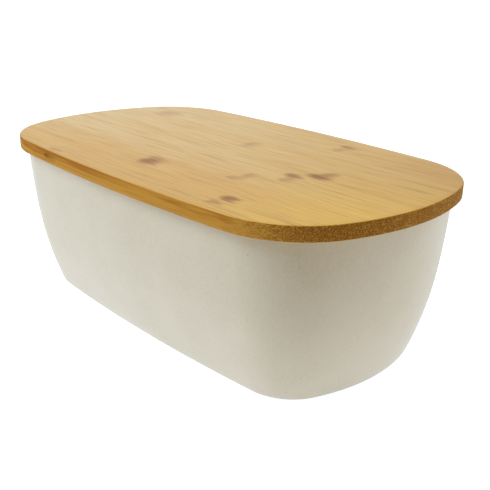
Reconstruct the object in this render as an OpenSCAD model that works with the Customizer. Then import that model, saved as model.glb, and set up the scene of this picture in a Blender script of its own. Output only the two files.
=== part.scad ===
// Bread bin: a moulded shell with a loose lid, which is a board glued up from bamboo strips.
// The origin is on the table under the middle of the bin. +X runs along its length and +Z is up.

/* [Lid] */
// Length of the lid, end to end
lid_l = 360; // [300:1:432]
// Width of the lid across its long sides
lid_w = 203; // [165:1:244]
// Thickness of the lid board
lid_t = 10; // [7:0.5:16]
// Plan radius of the long sides, which are almost straight
side_r = 1500; // [900:10:2400]
// Plan radius of the two ends
end_r = 160; // [130:1:200]
// Plan radius of the four corners
corner_r = 64.5; // [52:0.5:80]
// Chamfer along the edges of the lid
lid_edge = 1; // [0.4:0.1:1.5]

/* [Lid strips] */
// Number of bamboo strips glued side by side, the two outer ones included
strip_count = 10; // [8:1:12]
// Width left of the front strip, which is trimmed to the lid's outline
front_strip_w = 11.3; // [8:0.1:20]
// Width left of the back strip, which is trimmed too
back_strip_w = 17.3; // [8:0.1:20]

/* [Seat for the rim] */
// How far the lid stands out past the rim
overhang = 6; // [4:0.5:10]
// Depth of the groove that the rim stands in
seat_depth = 3; // [2:0.5:4]
// Gap between the rim and each side of its groove
seat_gap = 0.6; // [0.4:0.1:1]

/* [Bin] */
// Height of the bin without its lid
bin_h = 119.5; // [95:0.5:150]
// Thickness of the wall
wall_t = 2.8; // [2.2:0.1:4]
// Thickness of the floor
floor_t = 3; // [2:0.1:5]
// Lean of the wall at the rim, in degrees
rim_lean = 2.5; // [1:0.5:5]
// Profile radius of the upper wall
upper_r = 680; // [500:10:900]
// Height of the upper wall, down from the rim
upper_h = 50; // [40:1:60]
// Profile radius of the lower wall, which curves in more
lower_r = 280; // [230:5:340]
// Outer radius where the wall turns under the base
heel_r = 5; // [4:0.5:8]
// Inner radius where the wall meets the floor
cove_r = 9; // [5:0.5:12]
// Radius on both edges of the rim
rim_r = 0.8; // [0.5:0.1:1.1]
// Width of the ring that the bin stands on
foot_w = 7; // [5:0.5:12]
// Height of the hollow inside that ring
foot_h = 1.2; // [0.6:0.1:2]

/* [Hidden] */
// Farthest that a facet lies from its true curve, in plan and in profile
plan_error = 0.1;
profile_error = 0.05;
// The cutting blocks for the strips pass the board by this much
cut_over = 1;

// Plan outline: centres of the side and end arcs, and of the corner arc that touches both
side_c = [0, lid_w / 2 - side_r];
end_c = [lid_l / 2 - end_r, 0];
to_side = (side_c - end_c) / norm(side_c - end_c);
corner_along = ((end_r - corner_r) ^ 2 - (side_r - corner_r) ^ 2 + norm(side_c - end_c) ^ 2)
    / (2 * norm(side_c - end_c));
corner_across = sqrt((end_r - corner_r) ^ 2 - corner_along ^ 2);
corner_c = end_c + corner_along * to_side + corner_across * [-to_side.y, to_side.x];
// Where the end arc gives way to the corner arc, and the corner arc to the side arc
end_angle = atan2(corner_c.y, corner_c.x - end_c.x);
side_angle = atan2(corner_c.y - side_c.y, corner_c.x);

// Wall profile, as distances in from the lid's outline and heights above the table.
// Each arc is tangent to the next, and a lean is the wall's angle from upright.
rim_c = [overhang + rim_r, bin_h - rim_r];
upper_c = rim_c + (upper_r - rim_r) * [cos(rim_lean), sin(rim_lean)];
bend_lean = lean_at(upper_c, upper_r, bin_h - upper_h);
lower_c = upper_c - (upper_r - lower_r) * [cos(bend_lean), sin(bend_lean)];
heel_lean = lean_at(lower_c, lower_r - heel_r, heel_r);
heel_c = lower_c - (lower_r - heel_r) * [cos(heel_lean), sin(heel_lean)];
// The inner wall has the same centres, and its own radii at the rim and at the floor
inner_rim_path_r = upper_r - wall_t + rim_r;
inner_rim_lean = lean_at(upper_c, inner_rim_path_r, rim_c.y);
inner_rim_c = upper_c - inner_rim_path_r * [cos(inner_rim_lean), sin(inner_rim_lean)];
floor_z = foot_h + floor_t;
cove_path_r = lower_r - wall_t - cove_r;
cove_lean = lean_at(lower_c, cove_path_r, floor_z + cove_r);
cove_c = lower_c - cove_path_r * [cos(cove_lean), sin(cove_lean)];

// The lid's underside rests round the rim, with the rim's top on the roof of the groove
lid_z = bin_h - seat_depth;

// The strips between the two outer ones are equally wide
strip_w = (lid_w - front_strip_w - back_strip_w) / (strip_count - 2);
first_seam = front_strip_w - lid_w / 2;
seams = [for (i = [0 : strip_count - 2]) first_seam + i * strip_w];
strip_edges = concat([-lid_w / 2 - cut_over], seams, [lid_w / 2 + cut_over]);

function strip_name(i) = str("lid_strip_", i);

// The wall's lean where an arc about centre passes height z
function lean_at(centre, r, z) = asin((centre.y - z) / r);

// Equal steps that keep each chord within error of its arc, an even number so that one ends midway
function steps(r, sweep, error) = 2 * ceil(abs(sweep) / (4 * acos(1 - error / r)));

// Points along an arc from one angle up to, but without, the other.
// The steps come from the full radius, so that every inset of an outline has the same number of points.
function plan_arc(centre, r, inset, from, to) =
    let (n = steps(r, to - from, plan_error))
    [for (i = [0 : n - 1]) let (a = from + (to - from) * i / n) centre + (r - inset) * [cos(a), sin(a)]];

// The lid's outline, moved in by inset all the way round
function outline(inset) = concat(
    plan_arc(end_c, end_r, inset, -end_angle, end_angle),
    plan_arc(corner_c, corner_r, inset, end_angle, side_angle),
    plan_arc(side_c, side_r, inset, side_angle, 180 - side_angle),
    plan_arc([-corner_c.x, corner_c.y], corner_r, inset, 180 - side_angle, 180 - end_angle),
    plan_arc(-end_c, end_r, inset, 180 - end_angle, 180 + end_angle),
    plan_arc(-corner_c, corner_r, inset, 180 + end_angle, 180 + side_angle),
    plan_arc(-side_c, side_r, inset, 180 + side_angle, 360 - side_angle),
    plan_arc([corner_c.x, -corner_c.y], corner_r, inset, 360 - side_angle, 360 - end_angle)
);

// Points [inset, z] along a profile arc, both ends included, by the wall's lean
function profile_arc(centre, r, from, to) =
    let (n = steps(r, to - from, profile_error))
    [for (i = [0 : n]) let (a = from + (to - from) * i / n) centre - r * [cos(a), sin(a)]];

// A profile with its repeated points taken out
function without_repeats(levels) =
    [for (i = [0 : len(levels) - 1]) if (i == 0 || norm(levels[i] - levels[i - 1]) > 0.001) levels[i]];

// A solid whose skin follows the outline through each [inset, z] level and is closed flat at both ends
module skin(levels) {
    n = len(outline(0));
    polyhedron(
        points = [for (level = levels) for (p = outline(level.x)) [p.x, p.y, level.y]],
        faces = concat(
            [[for (i = [0 : n - 1]) i]],
            [for (k = [0 : len(levels) - 2]) for (i = [0 : n - 1])
                let (next = (i + 1) % n)
                [k * n + i, (k + 1) * n + i, (k + 1) * n + next, k * n + next]],
            [[for (i = [n - 1 : -1 : 0]) (len(levels) - 1) * n + i]]
        )
    );
}

module bin_shell() {
    outside = concat(
        profile_arc(heel_c, heel_r, 90, heel_lean),
        profile_arc(lower_c, lower_r, heel_lean, bend_lean),
        profile_arc(upper_c, upper_r, bend_lean, rim_lean)
    );
    rim = concat(
        profile_arc(rim_c, rim_r, rim_lean, -90),
        profile_arc(inner_rim_c, rim_r, -90, inner_rim_lean - 180)
    );
    inside = concat(
        profile_arc(upper_c, upper_r - wall_t, inner_rim_lean, bend_lean),
        profile_arc(lower_c, lower_r - wall_t, bend_lean, cove_lean),
        profile_arc(cove_c, cove_r, cove_lean, 90)
    );
    color("#e3ddd0")
        difference() {
            skin(without_repeats(concat(outside, rim, inside)));
            translate([0, 0, -cut_over])
                linear_extrude(foot_h + cut_over)
                    polygon(outline(heel_c.x + foot_w));
        }
}

// The whole lid board, before it is parted into strips
module lid_board() {
    difference() {
        skin([
            [lid_edge, lid_z],
            [0, lid_z + lid_edge],
            [0, lid_z + lid_t - lid_edge],
            [lid_edge, lid_z + lid_t]
        ]);
        translate([0, 0, lid_z - cut_over])
            linear_extrude(seat_depth + cut_over)
                difference() {
                    polygon(outline(overhang - seat_gap));
                    polygon(outline(overhang + wall_t + seat_gap));
                }
    }
}

// Strip i of the board, counted from the front
module lid_strip(i) {
    low = strip_edges[i - 1];
    high = strip_edges[i];
    color(i % 2 == 0 ? "#d3ab70" : "#caa066")
        intersection() {
            lid_board();
            translate([-lid_l / 2 - cut_over, low, lid_z - cut_over])
                cube([lid_l + 2 * cut_over, high - low, lid_t + 2 * cut_over]);
        }
}

bin_shell();
for (i = [1 : strip_count])
    lid_strip(i);
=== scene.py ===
import math

import bpy
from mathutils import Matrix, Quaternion, Vector


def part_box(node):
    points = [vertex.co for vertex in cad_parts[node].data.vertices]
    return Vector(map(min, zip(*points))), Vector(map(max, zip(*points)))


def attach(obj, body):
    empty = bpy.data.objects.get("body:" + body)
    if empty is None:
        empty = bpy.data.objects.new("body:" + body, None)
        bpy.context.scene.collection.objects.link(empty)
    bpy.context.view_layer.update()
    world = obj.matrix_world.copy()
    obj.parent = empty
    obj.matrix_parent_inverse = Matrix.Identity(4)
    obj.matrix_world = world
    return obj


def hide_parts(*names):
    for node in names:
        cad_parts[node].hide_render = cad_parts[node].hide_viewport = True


# A bread bin: a moulded shell of bamboo fibre, and a loose lid, which is a board of glued bamboo strips.
# Everything is in metres, with +X along the bin and +Z up. An inset is a distance in from the lid's
# outline.

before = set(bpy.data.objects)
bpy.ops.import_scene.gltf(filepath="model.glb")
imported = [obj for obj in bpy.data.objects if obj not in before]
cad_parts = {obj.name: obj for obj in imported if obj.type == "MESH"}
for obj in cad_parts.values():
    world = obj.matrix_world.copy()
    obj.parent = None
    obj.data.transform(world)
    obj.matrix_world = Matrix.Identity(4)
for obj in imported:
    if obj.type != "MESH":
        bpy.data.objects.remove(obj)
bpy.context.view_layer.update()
bpy.ops.object.select_all(action="DESELECT")

mm = 0.001
stripNames = [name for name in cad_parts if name.startswith("lid_strip_")]
stripNames.sort(key=lambda name: int(name.split("_")[-1]))
stripBoxes = {name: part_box(name) for name in stripNames}
lidTop = stripBoxes[stripNames[0]][1].z
lidUnderside = stripBoxes[stripNames[0]][0].z
halfLength = max(high.x for low, high in stripBoxes.values())
halfWidth = max(high.y for low, high in stripBoxes.values())
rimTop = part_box("bin_shell")[1].z
print("loaded the frame:", len(stripNames), "strips and the bin")


# The lid and the bin share one outline in plan: eight arcs, each tangent to the next

outline = {
    "sideRadius": 1500 * mm,
    "endRadius": 160 * mm,
    "cornerRadius": 64.5 * mm,
    "sideSteps": 24,
    "endSteps": 12,  # on half an end
    "cornerSteps": 28,
    "mergeGap": 0.01 * mm,  # the ends of neighbouring arcs meet closer than this
}


def outlineArcs():
    # (centre x, centre y, degrees, steps) of each arc, from the middle of the +X end round to it again
    side = Vector((0, halfWidth - outline["sideRadius"]))
    end = Vector((halfLength - outline["endRadius"], 0))
    endGap = outline["endRadius"] - outline["cornerRadius"]
    sideGap = outline["sideRadius"] - outline["cornerRadius"]
    apart = (side - end).length
    toSide = (side - end).normalized()
    along = (endGap ** 2 - sideGap ** 2 + apart ** 2) / (2 * apart)
    across = math.sqrt(endGap ** 2 - along ** 2)
    corner = end + along * toSide + across * Vector((-toSide.y, toSide.x))
    endTurn = math.degrees(math.atan2(corner.y, corner.x - end.x))
    sideTurn = 180 - 2 * math.degrees(math.atan2(corner.y - side.y, corner.x))
    cornerTurn = 90 - endTurn - sideTurn / 2
    arcs = []
    for way in (1, -1):
        arcs.append((way * end.x, 0, endTurn, outline["endSteps"]))
        arcs.append((way * corner.x, way * corner.y, cornerTurn, outline["cornerSteps"]))
        arcs.append((0, way * side.y, sideTurn, outline["sideSteps"]))
        arcs.append((-way * corner.x, way * corner.y, cornerTurn, outline["cornerSteps"]))
        arcs.append((-way * end.x, 0, endTurn, outline["endSteps"]))
    return arcs


def placeAt(inset, height):
    return Vector((halfLength - inset, 0, height))


def startProfile(name, inset, height):
    # a plane merged to one point, which the profile is drawn from in the plane y = 0
    bpy.ops.mesh.primitive_plane_add(size=mm, location=placeAt(inset, height), enter_editmode=True)
    bpy.context.object.name = name
    bpy.ops.mesh.select_mode(type="VERT")
    bpy.ops.mesh.select_all(action="SELECT")
    bpy.ops.mesh.merge(type="CENTER")


def drawLine(inward, upward):
    bpy.ops.mesh.extrude_region_move(TRANSFORM_OT_translate={"value": (-inward, 0, upward)})


def drawArc(centre, degrees, steps):
    # positive goes up the outside or over the rim; spin itself turns clockwise, so its angle is negative
    bpy.ops.mesh.spin(steps=steps, angle=-math.radians(degrees), center=placeAt(*centre), axis=(0, -1, 0))


def sweepProfile():
    bpy.ops.mesh.select_all(action="SELECT")
    for x, y, degrees, steps in outlineArcs():
        bpy.ops.mesh.spin(steps=steps, angle=-math.radians(degrees), center=(x, y, 0), axis=(0, 0, 1))
    bpy.ops.mesh.select_all(action="SELECT")
    bpy.ops.mesh.remove_doubles(threshold=outline["mergeGap"])


def closeHoles():
    bpy.ops.mesh.select_all(action="DESELECT")
    bpy.ops.mesh.select_non_manifold(extend=False)
    bpy.ops.mesh.fill_holes(sides=0)
    bpy.ops.mesh.select_all(action="SELECT")
    bpy.ops.mesh.normals_make_consistent(inside=False)


def finishPiece(smoothAngle):
    # the place goes into the mesh, as in the frame's own nodes
    bpy.ops.object.mode_set(mode="OBJECT")
    bpy.ops.object.transform_apply(location=True, rotation=True, scale=True)
    bpy.ops.object.shade_smooth_by_angle(angle=math.radians(smoothAngle))
    return bpy.context.object


# The bin: one wall section swept round the outline, then closed by the floor and the base

bowl = {
    "overhang": 6 * mm,
    "wall": 2.8 * mm,
    "floor": 3 * mm,
    "rimLean": 2.5,  # degrees from upright
    "rimRadius": 0.8 * mm,
    "upperRadius": 680 * mm,
    "upperHeight": 50 * mm,
    "lowerRadius": 280 * mm,
    "heelRadius": 5 * mm,
    "coveRadius": 9 * mm,
    "footWidth": 7 * mm,
    "footHeight": 1.2 * mm,
    "footEdge": 0.5 * mm,
    "footEdgeSteps": 4,
    "heelSteps": 8,
    "lowerSteps": 16,
    "upperSteps": 10,
    "rimSteps": 6,
    "innerLowerSteps": 14,
    "coveSteps": 10,
    "smoothAngle": 40,
}


def leanAt(centre, radius, height):
    # the wall's lean in degrees, where an arc about centre passes that height
    return math.degrees(math.asin((centre.y - height) / radius))


def towardsCentre(lean):
    return Vector((math.cos(math.radians(lean)), math.sin(math.radians(lean))))


def makeBin():
    rim = Vector((bowl["overhang"] + bowl["rimRadius"], rimTop - bowl["rimRadius"]))
    upper = rim + (bowl["upperRadius"] - bowl["rimRadius"]) * towardsCentre(bowl["rimLean"])
    bend = leanAt(upper, bowl["upperRadius"], rimTop - bowl["upperHeight"])
    lower = upper - (bowl["upperRadius"] - bowl["lowerRadius"]) * towardsCentre(bend)
    heelLean = leanAt(lower, bowl["lowerRadius"] - bowl["heelRadius"], bowl["heelRadius"])
    heel = lower - (bowl["lowerRadius"] - bowl["heelRadius"]) * towardsCentre(heelLean)
    innerReach = bowl["upperRadius"] - bowl["wall"] + bowl["rimRadius"]
    innerLean = leanAt(upper, innerReach, rim.y)
    innerRim = upper - innerReach * towardsCentre(innerLean)
    coveReach = bowl["lowerRadius"] - bowl["wall"] - bowl["coveRadius"]
    coveLean = leanAt(lower, coveReach, bowl["footHeight"] + bowl["floor"] + bowl["coveRadius"])
    cove = lower - coveReach * towardsCentre(coveLean)
    footEdge = Vector((heel.x + bowl["footWidth"] - bowl["footEdge"], bowl["footEdge"]))

    startProfile("mouldedBin", footEdge.x + bowl["footEdge"] + bowl["footWidth"], bowl["footHeight"])
    drawLine(-bowl["footWidth"], 0)
    drawLine(0, bowl["footEdge"] - bowl["footHeight"])
    drawArc(footEdge, 90, bowl["footEdgeSteps"])
    drawLine(heel.x - footEdge.x, 0)
    drawArc(heel, 90 - heelLean, bowl["heelSteps"])
    drawArc(lower, heelLean - bend, bowl["lowerSteps"])
    drawArc(upper, bend - bowl["rimLean"], bowl["upperSteps"])
    drawArc(rim, 90 + bowl["rimLean"], bowl["rimSteps"])
    drawLine(innerRim.x - rim.x, 0)
    drawArc(innerRim, 90 - innerLean, bowl["rimSteps"])
    drawArc(upper, innerLean - bend, bowl["upperSteps"])
    drawArc(lower, bend - coveLean, bowl["innerLowerSteps"])
    drawArc(cove, coveLean - 90, bowl["coveSteps"])
    drawLine(bowl["footWidth"], 0)
    sweepProfile()
    closeHoles()
    return finishPiece(bowl["smoothAngle"])


# The lid: the edge of the board swept round the outline, closed, and then sawn into its strips

lid = {
    "arris": 0.9 * mm,  # the rounding along its edges
    "arrisSteps": 5,
    "seatDepth": 3 * mm,
    "seatGap": 0.6 * mm,
    "margin": 4 * mm,  # how far the swept edge reaches in, before the middle is filled
    "smoothAngle": 30,
}


def makeBoard():
    outer = bowl["overhang"] - lid["seatGap"]
    inner = bowl["overhang"] + bowl["wall"] + lid["seatGap"]
    startProfile("lidBoard", inner + lid["margin"], lidUnderside)
    drawLine(-lid["margin"], 0)
    drawLine(0, lid["seatDepth"])
    drawLine(outer - inner, 0)
    drawLine(0, -lid["seatDepth"])
    drawLine(lid["arris"] - outer, 0)
    drawArc((lid["arris"], lidUnderside + lid["arris"]), 90, lid["arrisSteps"])
    drawLine(0, lidTop - lidUnderside - 2 * lid["arris"])
    drawArc((lid["arris"], lidTop - lid["arris"]), 90, lid["arrisSteps"])
    drawLine(lid["margin"], 0)
    sweepProfile()
    closeHoles()
    return finishPiece(lid["smoothAngle"])


def isSeam(y):
    # a strip's side is a seam unless it is the board's own edge
    return abs(y) < halfWidth - lid["arris"]


def sawStrip(board, name, low, high):
    bpy.ops.object.select_all(action="DESELECT")
    board.select_set(True)
    bpy.context.view_layer.objects.active = board
    bpy.ops.object.duplicate()
    strip = bpy.context.object
    strip.name = name
    bpy.ops.object.mode_set(mode="EDIT")
    for side, clear in ((low, "clear_inner"), (high, "clear_outer")):
        if isSeam(side):
            bpy.ops.mesh.select_all(action="SELECT")
            bpy.ops.mesh.bisect(plane_co=(0, side, 0), plane_no=(0, 1, 0), use_fill=True,
                                **{clear: True})
    bpy.ops.object.mode_set(mode="OBJECT")
    # again, for the sawn edges
    bpy.ops.object.shade_smooth_by_angle(angle=math.radians(lid["smoothAngle"]))
    return strip


mouldedBin = makeBin()
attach(mouldedBin, "bin")
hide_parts("bin_shell")
print("made the bin:", len(mouldedBin.data.polygons), "faces")

board = makeBoard()
strips = []
for number, name in enumerate(stripNames, 1):
    low, high = stripBoxes[name]
    strip = sawStrip(board, "bambooStrip" + str(number), low.y, high.y)
    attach(strip, "lid")
    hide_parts(name)
    strips.append(strip)
bpy.data.objects.remove(board)
print("made the lid:", len(strips), "strips")


# Finishes. Each colour is an sRGB hex value, and each pattern's size is in real millimetres.


def hexColour(text):
    # an sRGB hex value as the linear colour that a shader takes
    shares = [int(text[i:i + 2], 16) / 255 for i in (1, 3, 5)]
    return tuple(s / 12.92 if s <= 0.04045 else ((s + 0.055) / 1.055) ** 2.4 for s in shares) + (1,)


def addNode(tree, kind, inputs, output=0, **settings):
    # adds a node with its settings and gives back one of its outputs
    # an input is a plain value, a hex colour or another node's output
    node = tree.nodes.new(kind)
    for name, value in settings.items():
        setattr(node, name, value)
    for socket, value in inputs.items():
        if isinstance(value, bpy.types.NodeSocket):
            tree.links.new(value, node.inputs[socket])
        else:
            node.inputs[socket].default_value = hexColour(value) if isinstance(value, str) else value
    return node.outputs[output]


def newFinish(name, roughness):
    finish = bpy.data.materials.new(name)
    finish.use_nodes = True
    surface = finish.node_tree.nodes["Principled BSDF"]
    surface.inputs["Roughness"].default_value = roughness
    return finish, finish.node_tree, surface


# Bamboo fibre in melamine resin, hot pressed in a polished mould: an even satin cream, faintly mottled,
# with a few husk specks that lie close under the surface

fibreShade = {
    "light": "#d1c4ac",
    "dark": "#cabda3",
    "speck": "#8f7c62",
    "mottleSize": 30 * mm,
    "fleckSize": 1.8 * mm,
    "darkRange": (0.12, 0.4),  # mottle times fleck, from light to dark
    "speckSpacing": 9 * mm,
    "speckRadius": 0.45 * mm,
    "speckShare": 0.75,
    "bump": 0.05,
    "bumpDepth": 0.3 * mm,
    "roughness": 0.4,
}


def makeFibreFinish():
    finish, tree, surface = newFinish("bambooFibreMelamine", fibreShade["roughness"])
    place = addNode(tree, "ShaderNodeTexCoord", {}, "Object")
    mottle = addNode(tree, "ShaderNodeTexNoise",
                     {"Vector": place, "Scale": 1 / fibreShade["mottleSize"], "Detail": 3.0})
    fleck = addNode(tree, "ShaderNodeTexNoise",
                    {"Vector": place, "Scale": 1 / fibreShade["fleckSize"], "Detail": 2.0})
    low, high = fibreShade["darkRange"]
    blend = addNode(tree, "ShaderNodeMath", {0: mottle, 1: fleck}, operation="MULTIPLY")
    share = addNode(tree, "ShaderNodeMapRange", {"Value": blend, "From Min": low, "From Max": high})
    ground = addNode(tree, "ShaderNodeMix", {0: share, 6: fibreShade["light"], 7: fibreShade["dark"]},
                     2, data_type="RGBA")
    cells = addNode(tree, "ShaderNodeTexVoronoi",
                    {"Vector": place, "Scale": 1 / fibreShade["speckSpacing"]})
    rim = fibreShade["speckRadius"] / fibreShade["speckSpacing"]
    speck = addNode(tree, "ShaderNodeMapRange",
                    {"Value": cells, "From Min": rim / 2, "From Max": rim,
                     "To Min": fibreShade["speckShare"], "To Max": 0.0})
    colour = addNode(tree, "ShaderNodeMix", {0: speck, 6: ground, 7: fibreShade["speck"]},
                     2, data_type="RGBA")
    bump = addNode(tree, "ShaderNodeBump",
                   {"Height": fleck, "Strength": fibreShade["bump"], "Distance": fibreShade["bumpDepth"]})
    tree.links.new(colour, surface.inputs["Base Color"])
    tree.links.new(bump, surface.inputs["Normal"])
    return finish


# Flat-pressed bamboo, sanded and oiled: pale gold on the face with long fibres, a brown stain where each
# strip has a growth node, darker where the edge is sawn, and dotted with fibre ends where it is cut across

bambooShade = {
    "pale": "#d3b47c",
    "gold": "#cd9f53",
    "goldRange": (0.66, 1.34),  # band plus fibre plus the painted sheen's drift along X, from pale to gold
    "honey": "#e0b552",
    "russet": "#b88b4e",
    "ripeRange": (60 * mm, 170 * mm),  # along the lid, towards the +X end
    "ripeShare": 0.6,
    "fibre": "#a06a2c",
    "fibreRange": (0.5, 0.75),
    "fibreShare": 0.55,
    "edgeTurn": (0.6, 0.95),  # the normal's upright part, from sawn edge to face
    "acrossTurn": (0.25, 0.95),  # the normal's part along the strip, from side to cut end
    "sawnTop": "#a4661c",
    "sawnFoot": "#c08a36",
    "sawnWave": 20 * mm,
    "sawnRange": (lidUnderside + 10.5 * mm, lidTop + 10 * mm),  # height plus wave, from foot to top
    "fadeRange": (-90 * mm, 40 * mm),  # along the lid, where the darker top gets thinner
    "fadeDrop": 4 * mm,
    "cutEnd": "#8c5812",
    "fibreDot": "#4e2c06",
    "paleDot": "#cc9c4a",
    "fibreDotRange": (0.38, 0.1),
    "paleDotRange": (0.45, 0.75),
    "dotTurn": (0.05, 0.5),  # the normal's part along the strip, from where the dots begin to show
    "dotShare": 0.6,
    "stain": "#8b5006",
    "stainWobble": 4 * mm,
    "wobbleRange": (0.3, 0.7),
    "stainFeather": 2.4,  # how far the fibres pull a stain's edge in and out, in half sizes
    "stainRange": (1.55, 2.5),
    "glue": "#9a6c2e",
    "glueRange": (0.1 * mm, 0.6 * mm),
    "glueShare": 0.14,
    "bump": 0.05,
    "bumpDepth": 0.2 * mm,
    "faceRoughness": 0.4,
    "sawnRoughness": 0.8,
    "specular": 0.08,
}

# the patterns that run along each strip: length, width and detail
grainSizes = {
    "fibre": (40 * mm, 1.1 * mm, 3.0),  # wider than the real 0.4 mm, which is too fine to show
    "band": (240 * mm, 12 * mm, 2.0),
    "layer": (90 * mm, 2.5 * mm, 1.0),
}
fibreEndScale = 1.4  # fibre ends to each fibre's width
stripShift = (0.37, 0.61, 0.29)  # how far apart neighbouring strips' patterns are cut

# how much deeper than pale each strip is at the middle of the lid, and how much it deepens in a metre
# towards +X, a painted sheen that leaves the -X end paler
stripTonesAndPaintedSheen = {1: (0.42, 0.2), 2: (0.4, 0.2), 3: (0.2, 0.8), 5: (-0.03, 1.3), 8: (-0.08, 1.4)}
plainToneAndPaintedSheen = (0, 1.3)
# at the +X end the strips up to the first of these are honey yellow, and those from the second on russet
endTones = (4, 9)

# the stains of each strip's growth nodes: place along and across the lid, half length and half width in
# millimetres, and depth
stripStains = {
    1: [(-78, -94, 8, 2.5, 0.4)],
    2: [(94.5, -74.5, 7, 5, 0.9), (93, -86, 5, 6, 0.5)],
    3: [(-7, -60, 9, 9, 0.95), (-10, -51, 9, 4, 0.5)],
    4: [(65, -31, 5, 7, 0.4), (62, -42, 6, 5, 0.4)],
    5: [(84, -8.5, 8, 5.5, 0.8), (87, -19, 5, 8, 0.4)],
    6: [(96, 2.5, 10, 6, 0.9), (98, 11, 6, 7, 0.55)],
    7: [(1, 28.5, 6, 11, 0.35)],
    8: [(-134, 53, 12, 13, 0.35)],
    9: [(54, 80.5, 8, 4, 0.6), (55, 70, 6, 9, 0.3)],
}
stainReach = 40  # half of each stain's height in millimetres, which takes it right through the board

# a growth node that is cut through at the edge of the board: place, half sizes and depth
edgeKnots = {
    1: [((-80, -99.3, 122.3), (4.5, 3, 2), 0.65), ((-73, -99.6, 121.8), (8, 3, 2.4), 0.3)],
}


def layGrain(tree, place, number):
    # each strip's patterns are cut from another place, so that no two strips are alike
    shift = [part * number for part in stripShift]
    grain = {}
    for name, (length, width, detail) in grainSizes.items():
        scale = (1 / length, 1 / width, 1 / width)
        stretched = addNode(tree, "ShaderNodeMapping",
                            {"Vector": place, "Location": shift, "Scale": scale})
        grain[name] = addNode(tree, "ShaderNodeTexNoise",
                              {"Vector": stretched, "Scale": 1.0, "Detail": detail})
        if name == "fibre":
            grain["ends"] = addNode(tree, "ShaderNodeTexVoronoi",
                                    {"Vector": stretched, "Scale": fibreEndScale})
    return grain


def findCuts(tree, normal):
    # how far the surface is a sawn edge, how far it is cut across the fibres, and where their ends show
    parts = addNode(tree, "ShaderNodeSeparateXYZ", {0: normal}).node.outputs
    upright = addNode(tree, "ShaderNodeMath", {0: parts["Z"]}, operation="ABSOLUTE")
    low, high = bambooShade["edgeTurn"]
    edge = addNode(tree, "ShaderNodeMapRange",
                   {"Value": upright, "From Min": low, "From Max": high, "To Min": 1.0, "To Max": 0.0})
    endways = addNode(tree, "ShaderNodeMath", {0: parts["X"]}, operation="ABSOLUTE")
    low, high = bambooShade["acrossTurn"]
    across = addNode(tree, "ShaderNodeMapRange", {"Value": endways, "From Min": low, "From Max": high},
                     interpolation_type="SMOOTHSTEP")
    low, high = bambooShade["dotTurn"]
    shown = addNode(tree, "ShaderNodeMapRange", {"Value": endways, "From Min": low, "From Max": high})
    dotted = addNode(tree, "ShaderNodeMath", {0: shown, 1: edge}, operation="MULTIPLY")
    return edge, across, dotted


def colourFace(tree, spot, grain, number):
    # the sanded face: broad soft bands and fine streaks, with a painted sheen that makes it paler towards
    # the -X end and deeper towards the +X end
    deeper, paintedSheenDrift = stripTonesAndPaintedSheen.get(number, plainToneAndPaintedSheen)
    low, high = bambooShade["goldRange"]
    tone = addNode(tree, "ShaderNodeMath", {0: grain["band"], 1: grain["fibre"]}, operation="ADD")
    # painted sheen: the tone rises along X, so the face is paler towards the -X end
    tone = addNode(tree, "ShaderNodeMath", {0: spot["X"], 1: paintedSheenDrift, 2: tone},
                   operation="MULTIPLY_ADD")
    share = addNode(tree, "ShaderNodeMapRange",
                    {"Value": tone, "From Min": low - deeper, "From Max": high - deeper})
    face = addNode(tree, "ShaderNodeMix", {0: share, 6: bambooShade["pale"], 7: bambooShade["gold"]},
                   2, data_type="RGBA")
    red = min(max((number - endTones[0]) / (endTones[1] - endTones[0]), 0), 1)
    end = addNode(tree, "ShaderNodeMix", {0: red, 6: bambooShade["honey"], 7: bambooShade["russet"]},
                  2, data_type="RGBA")
    low, high = bambooShade["ripeRange"]
    ripe = addNode(tree, "ShaderNodeMapRange",
                   {"Value": spot["X"], "From Min": low, "From Max": high,
                    "To Max": bambooShade["ripeShare"]}, interpolation_type="SMOOTHSTEP")
    return addNode(tree, "ShaderNodeMix", {0: ripe, 6: face, 7: end}, 2, data_type="RGBA")


def colourSawnEdge(tree, spot, grain, across):
    # darker towards the top, where the culm's dense skin was, and brown where it is cut across
    wave = addNode(tree, "ShaderNodeMath", {0: grain["layer"], 1: bambooShade["sawnWave"], 2: spot["Z"]},
                   operation="MULTIPLY_ADD")
    low, high = bambooShade["fadeRange"]
    fade = addNode(tree, "ShaderNodeMapRange",
                   {"Value": spot["X"], "From Min": low, "From Max": high,
                    "To Max": -bambooShade["fadeDrop"]})
    height = addNode(tree, "ShaderNodeMath", {0: wave, 1: fade}, operation="ADD")
    low, high = bambooShade["sawnRange"]
    share = addNode(tree, "ShaderNodeMapRange", {"Value": height, "From Min": low, "From Max": high},
                    interpolation_type="SMOOTHSTEP")
    side = addNode(tree, "ShaderNodeMix", {0: share, 6: bambooShade["sawnFoot"], 7: bambooShade["sawnTop"]},
                   2, data_type="RGBA")
    return addNode(tree, "ShaderNodeMix", {0: across, 6: side, 7: bambooShade["cutEnd"]},
                   2, data_type="RGBA")


def drawFibres(tree, colour, grain, dotted):
    # streaks along the strip, and dark and pale dots where the fibres end
    low, high = bambooShade["fibreRange"]
    streak = addNode(tree, "ShaderNodeMapRange",
                     {"Value": grain["fibre"], "From Min": low, "From Max": high,
                      "To Max": bambooShade["fibreShare"]})
    colour = addNode(tree, "ShaderNodeMix", {0: streak, 6: colour, 7: bambooShade["fibre"]},
                     2, data_type="RGBA")
    for shade in ("fibreDot", "paleDot"):
        low, high = bambooShade[shade + "Range"]
        dot = addNode(tree, "ShaderNodeMapRange",
                      {"Value": grain["ends"], "From Min": low, "From Max": high,
                       "To Max": bambooShade["dotShare"]})
        share = addNode(tree, "ShaderNodeMath", {0: dot, 1: dotted}, operation="MULTIPLY")
        colour = addNode(tree, "ShaderNodeMix", {0: share, 6: colour, 7: bambooShade[shade]},
                         2, data_type="RGBA")
    return colour


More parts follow.
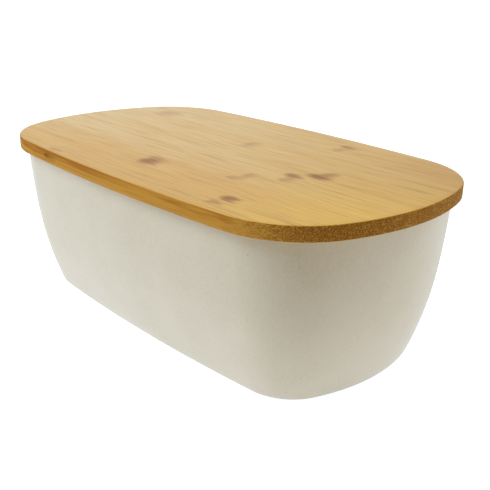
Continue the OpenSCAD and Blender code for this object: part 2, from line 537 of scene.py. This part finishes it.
def stainGrowthNodes(tree, colour, place, grain, number):
    # each mark is an ellipsoid whose edge follows the fibres
    low, high = bambooShade["wobbleRange"]
    wobble = addNode(tree, "ShaderNodeMapRange",
                     {"Value": grain["fibre"], "From Min": low, "From Max": high,
                      "To Min": -bambooShade["stainWobble"], "To Max": bambooShade["stainWobble"]})
    pull = addNode(tree, "ShaderNodeCombineXYZ", {"X": wobble})
    pulled = addNode(tree, "ShaderNodeVectorMath", {0: place, 1: pull}, operation="ADD")
    low, high = bambooShade["stainRange"]
    marks = [((x, y, lidTop / mm), (halfAlong, halfAcross, stainReach), depth, "stain")
             for x, y, halfAlong, halfAcross, depth in stripStains.get(number, [])]
    marks += [(*knot, "fibreDot") for knot in edgeKnots.get(number, [])]
    for centre, halfSizes, depth, shade in marks:
        size = [1 / (half * mm) for half in halfSizes]
        offset = [-c / half for c, half in zip(centre, halfSizes)]
        local = addNode(tree, "ShaderNodeMapping",
                        {"Vector": pulled, "Location": offset, "Scale": size})
        away = addNode(tree, "ShaderNodeVectorMath", {0: local}, "Value", operation="LENGTH")
        away = addNode(tree, "ShaderNodeMath",
                       {0: grain["fibre"], 1: bambooShade["stainFeather"], 2: away},
                       operation="MULTIPLY_ADD")
        share = addNode(tree, "ShaderNodeMapRange",
                        {"Value": away, "From Min": low, "From Max": high,
                         "To Min": depth, "To Max": 0.0},
                        interpolation_type="SMOOTHSTEP")
        colour = addNode(tree, "ShaderNodeMix", {0: share, 6: colour, 7: bambooShade[shade]},
                         2, data_type="RGBA")
    return colour


def drawGlueLines(tree, colour, spot, seams):
    near, far = bambooShade["glueRange"]
    for seam in seams:
        gap = addNode(tree, "ShaderNodeMath", {0: spot["Y"], 1: seam}, operation="SUBTRACT")
        gap = addNode(tree, "ShaderNodeMath", {0: gap}, operation="ABSOLUTE")
        share = addNode(tree, "ShaderNodeMapRange",
                        {"Value": gap, "From Min": near, "From Max": far,
                         "To Min": bambooShade["glueShare"], "To Max": 0.0})
        colour = addNode(tree, "ShaderNodeMix", {0: share, 6: colour, 7: bambooShade["glue"]},
                         2, data_type="RGBA")
    return colour


def makeBambooFinish(number, low, high):
    finish, tree, surface = newFinish("oiledBamboo" + str(number), bambooShade["faceRoughness"])
    surface.inputs["Specular IOR Level"].default_value = bambooShade["specular"]
    coords = tree.nodes.new("ShaderNodeTexCoord")
    place = coords.outputs["Object"]
    spot = addNode(tree, "ShaderNodeSeparateXYZ", {0: place}).node.outputs
    grain = layGrain(tree, place, number)
    edge, across, dotted = findCuts(tree, coords.outputs["Normal"])
    face = colourFace(tree, spot, grain, number)
    sawn = colourSawnEdge(tree, spot, grain, across)
    colour = addNode(tree, "ShaderNodeMix", {0: edge, 6: face, 7: sawn}, 2, data_type="RGBA")
    colour = drawFibres(tree, colour, grain, dotted)
    colour = stainGrowthNodes(tree, colour, place, grain, number)
    seams = [side for side in (low, high) if isSeam(side)]
    colour = drawGlueLines(tree, colour, spot, seams)
    roughness = addNode(tree, "ShaderNodeMapRange",
                        {"Value": edge, "To Min": bambooShade["faceRoughness"],
                         "To Max": bambooShade["sawnRoughness"]})
    bump = addNode(tree, "ShaderNodeBump",
                   {"Height": grain["fibre"], "Strength": bambooShade["bump"],
                    "Distance": bambooShade["bumpDepth"]})
    tree.links.new(colour, surface.inputs["Base Color"])
    tree.links.new(roughness, surface.inputs["Roughness"])
    tree.links.new(bump, surface.inputs["Normal"])
    return finish


mouldedBin.data.materials.append(makeFibreFinish())
for number, strip in enumerate(strips, 1):
    low, high = stripBoxes[stripNames[number - 1]]
    strip.data.materials.append(makeBambooFinish(number, low.y, high.y))
print("made the finishes")


# The camera, set out from the middle of the lid's top

camera = {
    "offset": Vector((430.4, -368, 139)) * mm,
    "aim": Vector((15.6, 11.4, -73.4)) * mm,
    "roll": 0.96,
    "lens": 57.47,
    "sensor": 36,
}


# The studio: a white floor that glows under and behind the object, five soft boxes, and a room that is
# bright behind the object and dim at the camera's side

studio = {
    "floorSize": 12,
    "floorColour": "#cfcfcf",
    "floorGlow": (0.65, 0.74, 0.9, 1),
    "glowEnd": (0.225, 0.34),  # metres from the middle of the object towards the camera
    "farGlow": 1.6,
    "farGlowRange": (-0.6, -2.0),
    "matte": 0.9,
    "dimRoom": (0.26, 0.19, 0.07, 1),
    "brightRoom": (1.1, 1.1, 1.1, 1),
    "backdrop": (1.1, 1.1, 1.1, 1),
    "brightWay": (-0.76, 0.65, 0),
    "brightRange": (0.55, 0.93),
}

# name, azimuth and elevation of the box from the object, distance, size, power, colour
softBoxes = [
    ("overheadBox", 20, 85, 0.8, 0.5, 1.0, (1, 1, 1)),
    ("leftBox", -31, 45, 2.6, 1.4, 42, (0.82, 1.0, 1.2)),
    ("rightBox", 150, 40, 2.0, 1.2, 13, (0.8, 1.0, 1.15)),
    ("backBox", -123, 14, 2.5, 1.2, 2.4, (1, 1, 1)),
    ("endBox", 125, 10, 2.0, 0.8, 4, (1, 1, 1)),
]


def lookAt(thing, target, roll=0):
    way = target - thing.location
    thing.rotation_mode = "QUATERNION"
    thing.rotation_quaternion = way.to_track_quat("-Z", "Y") @ Quaternion((0, 0, 1), math.radians(roll))


def wayTo(azimuth, elevation):
    # the direction from the object that an azimuth and an elevation in degrees name
    # azimuth 0 is the front
    turn, rise = math.radians(azimuth), math.radians(elevation)
    return Vector((math.sin(turn) * math.cos(rise), -math.cos(turn) * math.cos(rise), math.sin(rise)))


middle = Vector((0, 0, lidTop / 2))
towardsCamera = Vector((camera["offset"].x, camera["offset"].y, 0)).normalized()

bpy.ops.mesh.primitive_plane_add(size=studio["floorSize"])
floor = bpy.context.object
floor.name = "studioFloor"
floorFinish, tree, surface = newFinish("matteWhiteFloor", studio["matte"])
surface.inputs["Base Color"].default_value = hexColour(studio["floorColour"])
surface.inputs["Emission Color"].default_value = studio["floorGlow"]
place = addNode(tree, "ShaderNodeTexCoord", {}, "Object")
reach = addNode(tree, "ShaderNodeVectorMath", {0: place, 1: towardsCamera}, "Value",
                operation="DOT_PRODUCT")
near, far = studio["glowEnd"]
glow = addNode(tree, "ShaderNodeMapRange",
               {"Value": reach, "From Min": near, "From Max": far, "To Min": 1.0, "To Max": 0.0},
               interpolation_type="SMOOTHSTEP")
near, far = studio["farGlowRange"]
rise = addNode(tree, "ShaderNodeMapRange",
               {"Value": reach, "From Min": near, "From Max": far,
                "To Min": 1.0, "To Max": studio["farGlow"]})
glow = addNode(tree, "ShaderNodeMath", {0: glow, 1: rise}, operation="MULTIPLY")
# seen directly, the floor is as white on the camera's side as it is everywhere else
seen = addNode(tree, "ShaderNodeLightPath", {}, "Is Camera Ray")
glow = addNode(tree, "ShaderNodeMath", {0: glow, 1: seen}, operation="MAXIMUM")
tree.links.new(glow, surface.inputs["Emission Strength"])
floor.data.materials.append(floorFinish)

for name, azimuth, elevation, distance, size, power, colour in softBoxes:
    bpy.ops.object.light_add(type="AREA", location=middle + distance * wayTo(azimuth, elevation))
    box = bpy.context.object
    box.name = name
    box.data.size = size
    box.data.energy = power
    box.data.color = colour
    lookAt(box, middle)

world = bpy.data.worlds.new("studioRoom")
bpy.context.scene.world = world
world.use_nodes = True
tree = world.node_tree
way = addNode(tree, "ShaderNodeTexCoord", {}, "Generated")
facing = addNode(tree, "ShaderNodeVectorMath", {0: way, 1: Vector(studio["brightWay"]).normalized()},
                 "Value", operation="DOT_PRODUCT")
low, high = studio["brightRange"]
share = addNode(tree, "ShaderNodeMapRange", {"Value": facing, "From Min": low, "From Max": high},
                interpolation_type="SMOOTHSTEP")
light = addNode(tree, "ShaderNodeMix", {0: share, 6: studio["dimRoom"], 7: studio["brightRoom"]},
                2, data_type="RGBA")
seen = addNode(tree, "ShaderNodeLightPath", {}, "Is Camera Ray")
backdrop = addNode(tree, "ShaderNodeMix", {0: seen, 6: light, 7: studio["backdrop"]}, 2, data_type="RGBA")
tree.links.new(backdrop, tree.nodes["Background"].inputs["Color"])
bpy.context.scene.view_settings.view_transform = "Standard"

lidMiddle = Vector((0, 0, lidTop))
bpy.ops.object.camera_add(location=lidMiddle + camera["offset"])
viewer = bpy.context.object
viewer.name = "viewer"
viewer.data.sensor_width = camera["sensor"]
viewer.data.lens = camera["lens"]
lookAt(viewer, lidMiddle + camera["aim"], camera["roll"])
bpy.context.scene.camera = viewer
print("set the studio and the camera")
